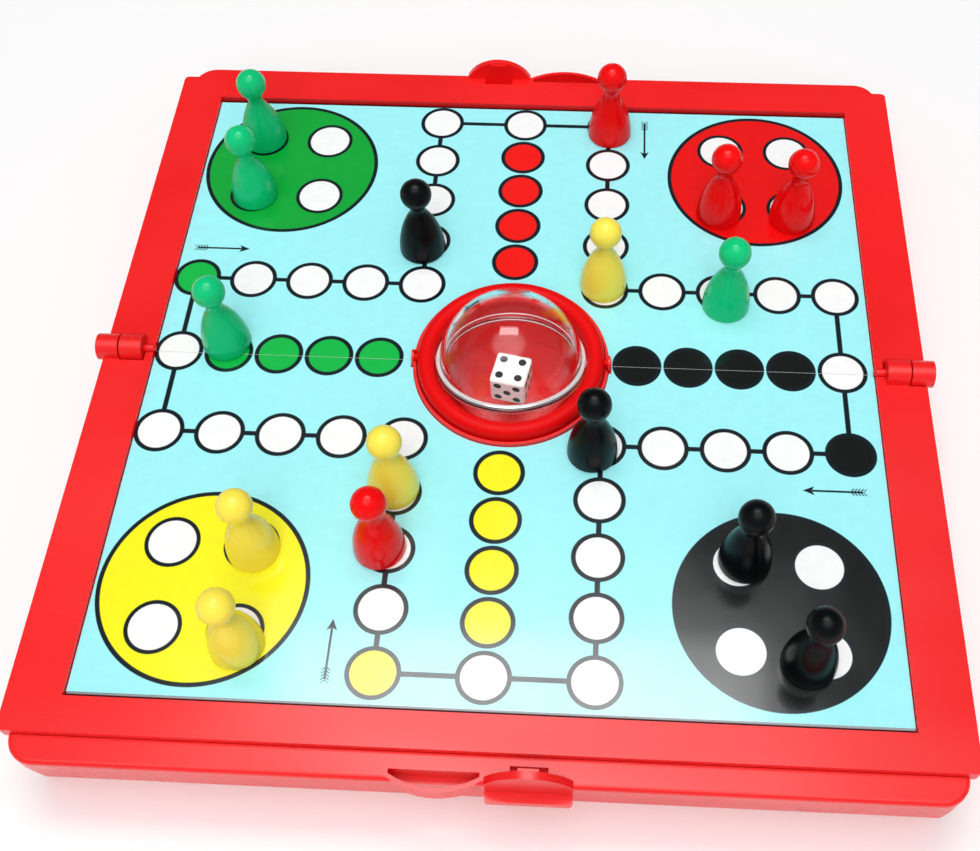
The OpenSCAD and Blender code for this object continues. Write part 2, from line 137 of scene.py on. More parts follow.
class Graph:
    """Shader nodes of one tree, made by name and joined by value."""

    # Places of a Mix node's colour sockets, which share their names with its other sockets.
    MIX_TEST, MIX_NO, MIX_YES, MIX_OUT = 0, 6, 7, 2

    def __init__(self, tree: bpy.types.NodeTree) -> None:
        """Hold the tree that the nodes go into.

        Args:
            tree: A material's node tree or a node group.
        """
        self.tree = tree

    def add(self, kind: str, **settings: object) -> bpy.types.Node:
        """Add one node.

        Args:
            kind: Blender's name of the node type.
            **settings: Properties to set on the node.

        Returns:
            The new node.
        """
        node = self.tree.nodes.new(kind)
        for key, value in settings.items():
            setattr(node, key, value)
        return node

    def feed(self, target: Socket, value: object) -> None:
        """Give a socket its value, by a link or as a number.

        Args:
            target: The input socket.
            value: A field, a socket, a number or a colour.
        """
        if isinstance(value, Field):
            value = value.socket
        if isinstance(value, bpy.types.NodeSocket):
            self.tree.links.new(value, target)
        else:
            target.default_value = value

    def math(self, operation: str, *values: Value) -> Field:
        """Combine numbers.

        Args:
            operation: Blender's name of the operation.
            *values: One or two fields or numbers.

        Returns:
            The result as a field.
        """
        node = self.add("ShaderNodeMath", operation=operation)
        for socket, value in zip(node.inputs, values):
            self.feed(socket, value)
        return Field(self, node.outputs[0])

    def hypot(self, across: Field, along: Field) -> Field:
        """Length of a vector from its two sides."""
        return self.math("SQRT", across * across + along * along)

    def choose(self, test: Value, yes: object, no: object) -> Socket:
        """Mix two colours.

        Args:
            test: Nought for the second colour, one for the first.
            yes: Colour or socket taken where the test is one.
            no: Colour or socket taken where the test is nought.

        Returns:
            The mixed colour.
        """
        node = self.add("ShaderNodeMix", data_type="RGBA")
        self.feed(node.inputs[self.MIX_TEST], test)
        self.feed(node.inputs[self.MIX_NO], no)
        self.feed(node.inputs[self.MIX_YES], yes)
        return node.outputs[self.MIX_OUT]

    def place(self) -> Socket:
        """Place on the object, in metres in the board's own frame."""
        return self.add("ShaderNodeTexCoord").outputs["Object"]

    def parts(self, vector: Socket) -> tuple[Field, ...]:
        """Split a vector into its three numbers.

        Args:
            vector: The vector.

        Returns:
            Its parts along x, y and z.
        """
        node = self.add("ShaderNodeSeparateXYZ")
        self.feed(node.inputs[0], vector)
        return tuple(Field(self, socket) for socket in node.outputs)

    def noise(self, scale: float, detail: float = 2.0, stretch: Triple = (1, 1, 1)) -> Field:
        """Soft random field from nought to one.

        Args:
            scale: Grains in a metre.
            detail: How many finer layers are added.
            stretch: Factor on each axis before the grains are laid.

        Returns:
            The field.
        """
        mapping = self.add("ShaderNodeMapping")
        mapping.inputs["Scale"].default_value = stretch
        self.feed(mapping.inputs["Vector"], self.place())
        node = self.add("ShaderNodeTexNoise")
        node.inputs["Scale"].default_value = scale
        node.inputs["Detail"].default_value = detail
        self.feed(node.inputs["Vector"], mapping.outputs[0])
        return Field(self, node.outputs[0])

    def ramp(self, value: Value, low: float, high: float, to_low: float, to_high: float,
             curve: str = "LINEAR") -> Field:
        """Stretch a field between new limits, held at both ends.

        Args:
            value: The field.
            low: Where the ramp starts.
            high: Where the ramp ends.
            to_low: Result at the start.
            to_high: Result at the end.
            curve: Blender's name of the way between the two.

        Returns:
            The stretched field.
        """
        node = self.add("ShaderNodeMapRange", interpolation_type=curve)
        for socket, number in zip(node.inputs[1:5], (low, high, to_low, to_high)):
            socket.default_value = number
        self.feed(node.inputs[0], value)
        return Field(self, node.outputs[0])


class SkinGroup:
    """Node group for a moulded skin: cloudy colour, hazy gloss and a fine ripple."""

    NAME = "moulded_skin"
    INPUTS = (("Base", "NodeSocketColor"), ("Shade", "NodeSocketColor"), ("Gloss", "NodeSocketFloat"),
              ("Haze", "NodeSocketFloat"))
    OUTPUTS = (("Colour", "NodeSocketColor"), ("Roughness", "NodeSocketFloat"), ("Height", "NodeSocketFloat"))
    CLOUD_SCALE = 28.0
    SMUDGE_SCALE = 40.0
    SMUDGE_STRETCH = (0.4, 1, 1)
    SPREAD = (0.2, 0.8)
    RIPPLE_SCALE = 420.0
    GRAIN_SCALE = 2600.0
    RIPPLE_SHARE = 0.75

    @classmethod
    def tree(cls) -> bpy.types.NodeTree:
        """Build the group once and hand it out after that.

        Returns:
            The node group.
        """
        found = bpy.data.node_groups.get(cls.NAME)
        if found:
            return found
        tree = bpy.data.node_groups.new(cls.NAME, "ShaderNodeTree")
        for name, kind in cls.INPUTS:
            tree.interface.new_socket(name, in_out="INPUT", socket_type=kind)
        for name, kind in cls.OUTPUTS:
            tree.interface.new_socket(name, in_out="OUTPUT", socket_type=kind)
        graph = Graph(tree)
        start = graph.add("NodeGroupInput").outputs
        end = graph.add("NodeGroupOutput").inputs
        cloud = graph.noise(cls.CLOUD_SCALE, detail=1)
        cloud = graph.ramp(cloud, *cls.SPREAD, 0, 1, "SMOOTHSTEP")
        smudge = graph.noise(cls.SMUDGE_SCALE, detail=1, stretch=cls.SMUDGE_STRETCH)
        smudge = graph.ramp(smudge, *cls.SPREAD, 0, 1, "SMOOTHSTEP")
        ripple = graph.noise(cls.RIPPLE_SCALE, detail=2)
        grain = graph.noise(cls.GRAIN_SCALE, detail=1)
        graph.feed(end["Colour"], graph.choose(cloud, start["Shade"], start["Base"]))
        graph.feed(end["Roughness"], Field(graph, start["Gloss"]) + smudge * start["Haze"])
        graph.feed(end["Height"], ripple * cls.RIPPLE_SHARE + grain * (1 - cls.RIPPLE_SHARE))
        return tree


class Finish:
    """A material of the board, made once under its own name."""

    name: str

    def material(self) -> bpy.types.Material:
        """Hand out the material, which is built on first use.

        Returns:
            The material.
        """
        found = bpy.data.materials.get(self.name)
        if found:
            return found
        made = bpy.data.materials.new(self.name)
        made.use_nodes = True
        made.node_tree.nodes.clear()
        graph = Graph(made.node_tree)
        shader = graph.add("ShaderNodeBsdfPrincipled")
        out = graph.add("ShaderNodeOutputMaterial")
        graph.feed(out.inputs["Surface"], shader.outputs[0])
        self.lay(graph, shader, out)
        return made

    def lay(self, graph: Graph, shader: bpy.types.Node, out: bpy.types.Node) -> None:
        """Fill in the shader's sockets; each finish does this in its own way.

        Args:
            graph: The material's nodes.
            shader: The material's shader.
            out: The material's output.
        """
        raise NotImplementedError

    @staticmethod
    def bump(graph: Graph, shader: bpy.types.Node, height: Value, depth: float,
             strength: float = 1.0) -> None:
        """Put a fine relief on the surface.

        Args:
            graph: The material's nodes.
            shader: The shader that takes the normal.
            height: Relief from nought to one.
            depth: Height of the relief in metres.
            strength: Share of the relief that shows.
        """
        node = graph.add("ShaderNodeBump")
        node.inputs["Strength"].default_value = strength
        node.inputs["Distance"].default_value = depth
        graph.feed(node.inputs["Height"], height)
        graph.feed(shader.inputs["Normal"], node.outputs[0])


@dataclass(frozen=True)
class MouldedPlastic(Finish):
    """Injection-moulded plastic with a gloss skin."""

    name: str
    base: Colour
    shade: Colour
    gloss: float = 0.25
    haze: float = 0.1
    ripple: float = 0.00001
    shine: float = 0.5
    glow: float = 0.0
    glow_reach: float = 0.002

    def lay(self, graph: Graph, shader: bpy.types.Node, out: bpy.types.Node) -> None:
        """Lay the skin group, and let light into a milky plastic.

        Args:
            graph: The material's nodes.
            shader: The material's shader.
            out: The material's output.
        """
        skin = graph.add("ShaderNodeGroup", node_tree=SkinGroup.tree())
        skin.inputs["Base"].default_value = self.base
        skin.inputs["Shade"].default_value = self.shade
        skin.inputs["Gloss"].default_value = self.gloss
        skin.inputs["Haze"].default_value = self.haze
        graph.feed(shader.inputs["Base Color"], skin.outputs["Colour"])
        graph.feed(shader.inputs["Roughness"], skin.outputs["Roughness"])
        self.bump(graph, shader, skin.outputs["Height"], self.ripple)
        shader.inputs["Specular IOR Level"].default_value = self.shine
        shader.inputs["Subsurface Weight"].default_value = self.glow
        shader.inputs["Subsurface Radius"].default_value = self.base[:3]
        shader.inputs["Subsurface Scale"].default_value = self.glow_reach


@dataclass(frozen=True)
class ClearPlastic(Finish):
    """Clear moulded shell, with slight flow marks."""

    name: str
    tint: Colour
    roughness: float = 0.012
    ior: float = 1.38
    clear: float = 1.0
    flow_scale: float = 90.0
    flow_stretch: Triple = (1, 1, 0.35)
    flow_span: Point = (0.3, 0.8)
    relief: float = 0.00003
    relief_share: float = 0.35
    shadow_tint: Colour = rgb(0.93, 0.93, 0.93)

    def lay(self, graph: Graph, shader: bpy.types.Node, out: bpy.types.Node) -> None:
        """Lay clear plastic that lets light through to what it covers.

        Args:
            graph: The material's nodes.
            shader: The material's shader.
            out: The material's output.
        """
        shader.inputs["Base Color"].default_value = self.tint
        shader.inputs["Transmission Weight"].default_value = self.clear
        shader.inputs["IOR"].default_value = self.ior
        flow = graph.noise(self.flow_scale, detail=2, stretch=self.flow_stretch)
        graph.feed(shader.inputs["Roughness"], graph.ramp(flow, *self.flow_span, 0.0, self.roughness))
        self.bump(graph, shader, flow, self.relief, self.relief_share)
        shadow = graph.add("ShaderNodeBsdfTransparent")
        shadow.inputs["Color"].default_value = self.shadow_tint
        mix = graph.add("ShaderNodeMixShader")
        test, seen, shaded = mix.inputs
        graph.feed(test, graph.add("ShaderNodeLightPath").outputs["Is Shadow Ray"])
        graph.feed(seen, shader.outputs[0])
        graph.feed(shaded, shadow.outputs[0])
        graph.feed(out.inputs["Surface"], mix.outputs[0])


@dataclass(frozen=True)
class RolledSteel(Finish):
    """Tin-plated sheet with its rolling marks."""

    name: str
    base: Colour
    darker: float = 0.8
    gloss: Point = (0.12, 0.3)
    mark_scale: float = 900.0
    mark_stretch: Triple = (0.03, 1, 1)
    relief: float = 0.00001

    def lay(self, graph: Graph, shader: bpy.types.Node, out: bpy.types.Node) -> None:
        """Lay bright metal with long marks along the rolling direction.

        Args:
            graph: The material's nodes.
            shader: The material's shader.
            out: The material's output.
        """
        marks = graph.noise(self.mark_scale, detail=3, stretch=self.mark_stretch)
        dark = scaled(self.base, self.darker)
        graph.feed(shader.inputs["Base Color"], graph.choose(marks, self.base, dark))
        shader.inputs["Metallic"].default_value = 1.0
        graph.feed(shader.inputs["Roughness"], graph.ramp(marks, *NOISE_SPAN, *self.gloss))
        self.bump(graph, shader, marks, self.relief)


@dataclass(frozen=True)
class Magnet(Finish):
    """Sintered magnet, dark and a little grainy."""

    name: str
    base: Colour
    lighter: float = 2.2
    metal: float = 0.8
    gloss: Point = (0.4, 0.65)
    grain_scale: float = 3200.0
    relief: float = 0.00003

    def lay(self, graph: Graph, shader: bpy.types.Node, out: bpy.types.Node) -> None:
        """Lay dark grainy metal.

        Args:
            graph: The material's nodes.
            shader: The material's shader.
            out: The material's output.
        """
        grain = graph.noise(self.grain_scale, detail=3)
        light = scaled(self.base, self.lighter)
        graph.feed(shader.inputs["Base Color"], graph.choose(grain, light, self.base))
        shader.inputs["Metallic"].default_value = self.metal
        graph.feed(shader.inputs["Roughness"], graph.ramp(grain, *NOISE_SPAN, *self.gloss))
        self.bump(graph, shader, grain, self.relief)


@dataclass(frozen=True)
class GameLayout:
    """Sizes of the printed game in millimetres, from its own middle.

    The stretch, the neck share, the barb slope and the vane slant are plain ratios.
    """

    middle: Point = (-0.91, 0.46)
    stretch: Point = (0.9955, 0.9884)
    lane: float = 23.4
    tip: float = 81.65
    steps: int = 4
    home: float = 31.7
    cell_r: float = 4.95
    cell_line: float = 1.08
    link_half: float = 0.62
    house: Point = (63.2, 63.1)
    house_r: float = 22.5
    house_line: float = 1.05
    pit: Point = (9.0, 10.3)
    pit_r: float = 5.35
    pit_line: float = 0.95
    arrow_w: float = 33.4
    arrow_tail: float = 84.1
    arrow_tip: float = 69.8
    arrow_half: float = 0.27
    shaft_gap: float = 0.6
    head_l: float = 2.6
    head_half: float = 1.15
    neck_share: float = 0.8
    barb_slope: float = 0.5
    vane_l: float = 3.7
    vane_half: float = 0.9
    vane_pitch: float = 0.74
    vane_slant: float = 0.8
    vane_gap: float = 0.3
    stripe_half: float = 0.17
    soft: float = 0.09


@dataclass(frozen=True)
class PrintedFilm(Finish):
    """Glossy printed film with the game's cells, houses and arrows."""

    name: str
    sky: Colour
    ink: Colour
    paper: Colour
    houses: dict[Side, Colour] = field(hash=False)
    cells: dict[Side, Colour] = field(hash=False)
    layout: GameLayout = GameLayout()
    mottle_scale: float = 340.0
    mottle_light: Point = (0.97, 1.02)
    smudge_scale: float = 45.0
    smudge_stretch: Triple = (1, 0.6, 1)
    smudge_span: Point = (0.4, 0.72)
    gloss: Point = (0.16, 0.26)
    coat: float = 0.3
    coat_gloss: float = 0.08
    wave_scale: float = 160.0
    wave_depth: float = 0.00002
    upward: float = 0.5

    def lay(self, graph: Graph, shader: bpy.types.Node, out: bpy.types.Node) -> None:
        """Print the game, then lay the gloss with its smudges.

        Args:
            graph: The material's nodes.
            shader: The material's shader.
            out: The material's output.
        """
        mottle = graph.noise(self.mottle_scale, detail=3)
        art = graph.choose(self.printed_side(graph), self.artwork(graph), self.paper)
        hsv = graph.add("ShaderNodeHueSaturation")
        graph.feed(hsv.inputs["Value"], graph.ramp(mottle, *NOISE_SPAN, *self.mottle_light))
        graph.feed(hsv.inputs["Color"], art)
        graph.feed(shader.inputs["Base Color"], hsv.outputs[0])
        smudge = graph.noise(self.smudge_scale, detail=5, stretch=self.smudge_stretch)
        graph.feed(shader.inputs["Roughness"], graph.ramp(smudge, *self.smudge_span, *self.gloss))
        shader.inputs["Coat Weight"].default_value = self.coat
        shader.inputs["Coat Roughness"].default_value = self.coat_gloss
        self.bump(graph, shader, graph.noise(self.wave_scale, detail=3), self.wave_depth)

    def printed_side(self, graph: Graph) -> Field:
        """Mask of the film's upper side; its cut edges and its back stay white.

        Args:
            graph: The material's nodes.

        Returns:
            One on the upper side and nought elsewhere.
        """
        facing = graph.add("ShaderNodeTexCoord").outputs["Normal"]
        _, _, rise = graph.parts(facing)
        return rise.above(self.upward)

    def inside(self, graph: Graph, distance: Field, radius: Value) -> Field:
        """Mask of a printed shape, with a slightly soft edge.

        Args:
            graph: The material's nodes.
            distance: Distance from the shape's middle.
            radius: Distance of the shape's edge.

        Returns:
            One inside the shape and nought outside it.
        """
        gap = graph.math("SUBTRACT", radius, distance)
        return graph.ramp(gap, -self.layout.soft, self.layout.soft, 0, 1)

    def artwork(self, graph: Graph) -> Socket:
        """Print all the shapes, one over the other.

        Args:
            graph: The material's nodes.

        Returns:
            The printed colour.
        """
        lay = self.layout
        place_x, place_y, _ = graph.parts(graph.place())
        x = (place_x / MM - lay.middle[0]) / lay.stretch[0]
        y = (place_y / MM - lay.middle[1]) / lay.stretch[1]
        across, along = abs(x), abs(y)
        on_x = across.above(along)
        out, side = across.largest(along), across.smallest(along)
        clockwise = x * y.sign() * (1 - on_x) - y * x.sign() * on_x
        left, back = x.below(0), y.above(0)
        row, home = self.cells, self.houses
        arm = graph.choose(on_x, graph.choose(left, row[Side.GREEN], row[Side.BLACK]),
                           graph.choose(back, row[Side.RED], row[Side.YELLOW]))
        corner = graph.choose(back, graph.choose(left, home[Side.GREEN], home[Side.RED]),
                              graph.choose(left, home[Side.YELLOW], home[Side.BLACK]))

        colour = graph.choose(self.links(graph, out, side), self.ink, self.sky)
        before_last = lay.steps - 0.5
        step, cell = self.nearest_cell(graph, out, lay.lane, side - lay.lane)
        start = step.above(before_last) * clockwise.above(0)
        colour = self.ringed(graph, colour, cell, lay.cell_r, lay.cell_line,
                             graph.choose(start, arm, self.paper))
        step, cell = self.nearest_cell(graph, out, lay.home, side)
        colour = self.ringed(graph, colour, cell, lay.cell_r, lay.cell_line,
                             graph.choose(step.above(before_last), self.paper, arm))
        house_x, house_y = across - lay.house[0], along - lay.house[1]
        house = graph.hypot(house_x, house_y)
        colour = self.ringed(graph, colour, house, lay.house_r, lay.house_line, corner)
        pit = graph.hypot(abs(house_x) - lay.pit[0], abs(house_y) - lay.pit[1])
        colour = self.ringed(graph, colour, pit, lay.pit_r, lay.pit_line, self.paper)
        return graph.choose(self.arrow(graph, out, clockwise - lay.arrow_w), self.ink, colour)

    def ringed(self, graph: Graph, under: Socket, distance: Field, radius: float, line: float,
               fill: object) -> Socket:
        """Print a disc with its outline.

        Args:
            graph: The material's nodes.
            under: The colour printed so far.
            distance: Distance from the disc's middle.
            radius: Radius of the filled disc.
            line: Width of the outline.
            fill: Colour of the disc.

        Returns:
            The colour with the disc on it.
        """
        ring = graph.choose(self.inside(graph, distance, radius + line), self.ink, under)
        return graph.choose(self.inside(graph, distance, radius), fill, ring)

    def nearest_cell(self, graph: Graph, out: Field, start: float, aside: Field) -> tuple[Field, Field]:
        """Find the nearest cell of a row that runs out along an arm.

        Args:
            graph: The material's nodes.
            out: Distance out along the arm.
            start: Where the row starts.
            aside: Distance to the side of the row.

        Returns:
            The cell's number, and the distance from its middle.
        """
        lay = self.layout
        pitch = (lay.tip - start) / lay.steps
        step = ((out - start) / pitch).whole().largest(0).smallest(lay.steps)
        return step, graph.hypot(out - start - step * pitch, aside)

    def links(self, graph: Graph, out: Field, side: Field) -> Field:
        """Mask of the lines that join the track's cells.

        Args:
            graph: The material's nodes.
            out: Distance out along the nearest arm.
            side: Distance from the middle of that arm.

        Returns:
            The mask.
        """
        lay = self.layout
        lane = abs(side - lay.lane).largest(lay.lane - out).largest(out - lay.tip)
        end = abs(out - lay.tip).largest(side - lay.lane)
        return self.inside(graph, lane.smallest(end), lay.link_half)

    def arrow(self, graph: Graph, out: Field, aside: Field) -> Field:
        """Mask of the fletched arrow beside each arm.

        Args:
            graph: The material's nodes.
            out: Distance out along the arm.
            aside: Distance from the arrow's line.

        Returns:
            The mask.
        """
        lay = self.layout
        off = abs(aside)
        neck = lay.arrow_tip + lay.head_l * lay.neck_share
        shaft = (off - lay.arrow_half).largest(neck - out).largest(out - lay.arrow_tail + lay.shaft_gap)
        slope = lay.head_half / lay.head_l
        head = (off - (out - lay.arrow_tip) * slope).largest(out - off * lay.barb_slope - neck)
        vane_from = lay.arrow_tail - lay.vane_l
        slant = off * lay.vane_slant
        phase = graph.math("FRACT", (out - vane_from - slant) / lay.vane_pitch)
        stripe = abs(phase - 0.5) * lay.vane_pitch - lay.stripe_half
        vanes = stripe.largest(off - lay.vane_half).largest(vane_from - out + slant)
        vanes = vanes.largest(out - slant - lay.arrow_tail + lay.vane_gap)
        return self.inside(graph, shaft.smallest(head).smallest(vanes), 0.0)


@dataclass(frozen=True)
class PlainFloor(Finish):
    """Pale studio floor."""

    name: str
    base: Colour
    dimmer: float = 0.985
    roughness: float = 0.7
    cloud_scale: float = 6.0

    def lay(self, graph: Graph, shader: bpy.types.Node, out: bpy.types.Node) -> None:
        """Lay a matt white with a very slight unevenness.

        Args:
            graph: The material's nodes.
            shader: The material's shader.
            out: The material's output.
        """
        cloud = graph.noise(self.cloud_scale, detail=2)
        dim = scaled(self.base, self.dimmer)
        graph.feed(shader.inputs["Base Color"], graph.choose(cloud, self.base, dim))
        shader.inputs["Roughness"].default_value = self.roughness


RED_RING = MouldedPlastic("red_ring", rgb(0.78, 0.003, 0.004), rgb(0.72, 0.002, 0.003),
                          gloss=0.36, haze=0.1, shine=0.1)
RED_SHELL = MouldedPlastic("red_shell", rgb(0.92, 0.012, 0.013), rgb(0.84, 0.009, 0.01),
                           gloss=0.24, haze=0.12)
STEEL = RolledSteel("tin_plate", rgb(0.2, 0.2, 0.21))
MAGNET = Magnet("sintered_magnet", rgb(0.06, 0.06, 0.065))
CLEAR = ClearPlastic("clear_plastic", rgb(0.985, 0.99, 1.0))
# Frosted rim of the ball's flange; its pale, part-opaque colour is a painted highlight standing in for the
# bright lines that the clear rim catches.
FROSTED_RIM_PAINTED_GLINT = ClearPlastic("frosted_rim_painted_glint", rgb(1.0, 0.95, 0.95), roughness=0.25, ior=1.49, clear=0.35)
DIE_WHITE = MouldedPlastic("white_plastic", rgb(0.86, 0.85, 0.82), rgb(0.8, 0.79, 0.76),
                           gloss=0.2, haze=0.08, glow=0.15, glow_reach=0.001)
PIP_BLACK = MouldedPlastic("pip_black", rgb(0.003, 0.003, 0.003), rgb(0.006, 0.006, 0.006),
                           gloss=0.6, haze=0.1)
PAWN_FINISH = {
    Side.GREEN: MouldedPlastic("pawn_green", rgb(0.004, 0.6, 0.22), rgb(0.003, 0.52, 0.19),
                               gloss=0.13, haze=0.06, shine=0.26, glow=0.3),
    Side.RED: MouldedPlastic("pawn_red", rgb(0.93, 0.003, 0.004), rgb(0.86, 0.002, 0.003),
                             gloss=0.13, haze=0.06, shine=0.2, glow=0.2),
    Side.BLACK: MouldedPlastic("pawn_black", rgb(0.001, 0.0015, 0.002), rgb(0.002, 0.0025, 0.003),
                               gloss=0.26, haze=0.06, shine=0.16),
    Side.YELLOW: MouldedPlastic("pawn_yellow", rgb(1.0, 0.84, 0.1), rgb(1.0, 0.81, 0.08),
                                gloss=0.13, haze=0.06, shine=0.3),
}
FILM = PrintedFilm(
    "printed_film",
    sky=rgb(0.36, 0.9, 0.94),
    ink=rgb(0.002, 0.009, 0.014),
    paper=rgb(0.94, 0.95, 0.95),
    houses={Side.GREEN: rgb(0.002, 0.38, 0.04), Side.RED: rgb(0.82, 0.003, 0.003),
            Side.BLACK: rgb(0.004, 0.005, 0.005), Side.YELLOW: rgb(0.95, 0.9, 0.012)},
    cells={Side.GREEN: rgb(0.003, 0.485, 0.065), Side.RED: rgb(0.9, 0.006, 0.003),
           Side.BLACK: rgb(0.003, 0.004, 0.004), Side.YELLOW: rgb(0.95, 0.9, 0.012)})
FLOOR = PlainFloor("studio_floor", rgb(0.93, 0.93, 0.93))


class Bench:
    """Modelling steps that every piece shares."""

    MERGE_MM = 0.001

    @staticmethod
    def clear() -> None:
        """Leave edit mode and let go of every object."""
        if bpy.context.object and bpy.context.object.mode != "OBJECT":
            bpy.ops.object.mode_set(mode="OBJECT")
        bpy.ops.object.select_all(action="DESELECT")

    @classmethod
    def hold(cls, piece: Piece) -> None:
        """Make one object the only one that is selected.

        Args:
            piece: The object.
        """
        cls.clear()
        piece.select_set(True)
        bpy.context.view_layer.objects.active = piece

    @classmethod
    def lathe(cls, name: str, profile: Sequence[Point], steps: int = 96) -> Piece:
        """Turn an outline about the upright axis.

        Args:
            name: Name of the new piece.
            profile: Radius and height of each corner in millimetres, in order.
            steps: Number of segments round the axis.

        Returns:
            The closed piece, at the origin.
        """
        cls.clear()
        bpy.ops.mesh.primitive_plane_add(size=MM)
        piece = bpy.context.object
        piece.name = name
        bpy.ops.object.mode_set(mode="EDIT")
        bpy.ops.mesh.select_all(action="SELECT")
        bpy.ops.mesh.merge(type="CENTER")
        bpy.ops.transform.translate(value=(profile[0][0] * MM, 0, profile[0][1] * MM))
        for (r0, z0), (r1, z1) in zip(profile, profile[1:]):
            move = ((r1 - r0) * MM, 0, (z1 - z0) * MM)
            bpy.ops.mesh.extrude_region_move(TRANSFORM_OT_translate={"value": move})
        bpy.ops.mesh.select_all(action="SELECT")
        bpy.ops.mesh.spin(steps=steps, angle=2 * math.pi, center=(0, 0, 0), axis=(0, 0, 1))
        cls.close()
        return piece

    @classmethod
    def close(cls, angle: float = 35.0) -> None:
        """Merge doubled points, turn the faces outwards and smooth what is round.

        Args:
            angle: Edges sharper than this many degrees stay sharp.
        """
        bpy.ops.mesh.select_all(action="SELECT")
        bpy.ops.mesh.remove_doubles(threshold=cls.MERGE_MM * MM)
        bpy.ops.mesh.normals_make_consistent(inside=False)
        bpy.ops.object.mode_set(mode="OBJECT")
        bpy.ops.object.shade_smooth_by_angle(angle=math.radians(angle))

    @classmethod
    def settle(cls, piece: Piece, location: Vector, tilt: float = 0.0, yaw: float = 0.0) -> None:
        """Move a piece to its place and write the place into its mesh.

        Args:
            piece: The piece, modelled at the origin.
            location: Where its origin goes, in metres.
            tilt: Turn about the fold line in radians.
            yaw: Turn about the piece's own upright axis in radians, before the tilt.
        """
        cls.hold(piece)
        turn = Euler((tilt, 0, 0)).to_matrix() @ Euler((0, 0, yaw)).to_matrix()
        piece.matrix_world = Matrix.Translation(location) @ turn.to_4x4()
        bpy.ops.object.transform_apply(location=True, rotation=True, scale=True)

    @classmethod
    def copy(cls, piece: Piece, name: str) -> Piece:
        """Copy a piece with a mesh of its own.

        Args:
            piece: The piece to copy.
            name: Name of the copy.

        Returns:
            The copy.
        """
        cls.hold(piece)
        bpy.ops.object.duplicate()
        made = bpy.context.object
        made.name = name
        return made

    @classmethod
    def finish(cls, piece: Piece, modifier: str, **settings: object) -> None:
        """Add one modifier and apply it.

        Args:
            piece: The piece.
            modifier: Blender's name of the modifier type.
            **settings: Properties to set on the modifier.
        """
        cls.hold(piece)
        made = piece.modifiers.new(modifier.lower(), modifier)
        for key, value in settings.items():
            setattr(made, key, value)
        bpy.ops.object.modifier_apply(modifier=made.name)

    @classmethod
    def join(cls, pieces: Sequence[Piece]) -> Piece:
        """Join pieces into the first one.

        Args:
            pieces: The pieces; the first keeps its name.

        Returns:
            The joined piece.
        """
        cls.hold(pieces[0])
        for piece in pieces[1:]:
            piece.select_set(True)
        bpy.ops.object.join()
        return pieces[0]


def dress(piece: Piece, *finishes: Finish) -> None:
    """Give a piece its materials, one slot each.

    Args:
        piece: A new piece or a node of the frame.
        *finishes: The finishes in slot order.
    """
    while len(piece.data.materials) < len(finishes):
        piece.data.materials.append(None)
    for slot, finish in zip(piece.material_slots, finishes):
        slot.material = finish.material()


def arc(centre: Point, radius: float, start: float, end: float, count: int) -> list[Point]:
    """Points along an arc of a turned outline.

    Args:
        centre: Middle of the arc in millimetres.
        radius: Radius of the arc.
        start: First angle in degrees, from the outward direction.
        end: Last angle in degrees.
        count: Number of steps.

    Returns:
        The points with both ends.
    """
    angles = [math.radians(start + (end - start) * i / count) for i in range(count + 1)]
    return [(centre[0] + radius * math.cos(a), centre[1] + radius * math.sin(a)) for a in angles]


@dataclass
class Casing:
    """The red mouldings, the steel sheets and the printed film."""

    red_nodes: tuple[str, ...] = ("front_tray", "back_tray", "front_deck", "back_deck", "left_hinge_pin",
                                  "right_hinge_pin")
    ring_nodes: tuple[str, ...] = ("dice_ring",)
    steel_nodes: tuple[str, ...] = ("front_steel_sheet", "back_steel_sheet")
    film_nodes: tuple[str, ...] = ("front_print", "back_print")

    def build(self) -> Iterable[str]:
        """Dress the frame's own nodes.

        Returns:
            The names of the dressed nodes.
        """
        for names, finish in ((self.red_nodes, RED_SHELL), (self.ring_nodes, RED_RING),
                              (self.steel_nodes, STEEL), (self.film_nodes, FILM)):
            for name in names:
                dress(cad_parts[name], finish)
                yield name


